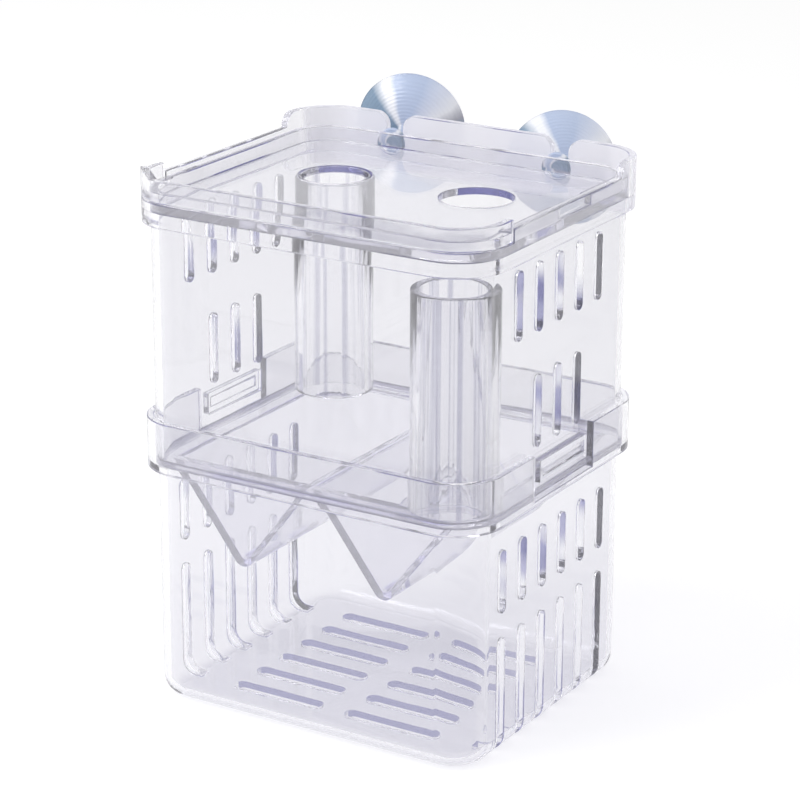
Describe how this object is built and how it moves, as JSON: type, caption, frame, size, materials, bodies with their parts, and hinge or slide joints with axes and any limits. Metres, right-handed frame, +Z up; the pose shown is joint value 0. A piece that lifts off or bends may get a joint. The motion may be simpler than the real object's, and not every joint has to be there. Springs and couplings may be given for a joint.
{
  "type": "fish breeding box",
  "caption": "Clear double-deck fish breeding box: slotted lower box, V-trough tray, upper box with recessed lid, feeding tubes and suction cups.",
  "frame": {"origin": "centre of the base of the lower box, on the surface that it stands on", "axes": "+Z up, +Y towards the suction cups, +X to the right as seen from the front"},
  "size_m": [0.1052, 0.1124, 0.1545],
  "materials": {
    "clear_acrylic": "polished clear plastic with a faint lilac tint",
    "silicone": "soft translucent blue-grey"
  },
  "bodies": {
    "lower_box_body": {"lower_box": "clear_acrylic"},
    "v_tray_body": {"v_tray": "clear_acrylic"},
    "upper_box_body": {"upper_box": "clear_acrylic"},
    "lid_body": {"lid": "clear_acrylic"},
    "feeding_tube_body": {"feeding_tube": "clear_acrylic"},
    "spare_tube_body": {"spare_tube": "clear_acrylic"},
    "suction_cup_left_body": {"suction_cup_left": "silicone"},
    "suction_cup_right_body": {"suction_cup_right": "silicone"}
  },
  "joints": [
    {"name": "tray_lift", "type": "slide", "parent": "lower_box_body", "child": "v_tray_body", "axis": [0, 0, 1], "range_m": [0, 0.04]},
    {"name": "upper_box_lift", "type": "slide", "parent": "v_tray_body", "child": "upper_box_body", "axis": [0, 0, 1], "range_m": [0, 0.06]},
    {"name": "lid_lift", "type": "slide", "parent": "upper_box_body", "child": "lid_body", "axis": [0, 0, 1], "range_m": [0, 0.07]},
    {"name": "feeding_tube_pull", "type": "slide", "parent": "lid_body", "child": "feeding_tube_body", "axis": [0, 0, -1], "range_m": [0, 0.008]},
    {"name": "spare_tube_lift", "type": "slide", "parent": "v_tray_body", "child": "spare_tube_body", "axis": [0, 0, 1], "range_m": [0, 0.008]},
    {"name": "left_cup_lift", "type": "slide", "parent": "upper_box_body", "child": "suction_cup_left_body", "axis": [0, 0, 1], "range_m": [0, 0.016]},
    {"name": "right_cup_lift", "type": "slide", "parent": "upper_box_body", "child": "suction_cup_right_body", "axis": [0, 0, 1], "range_m": [0, 0.016]}
  ]
}
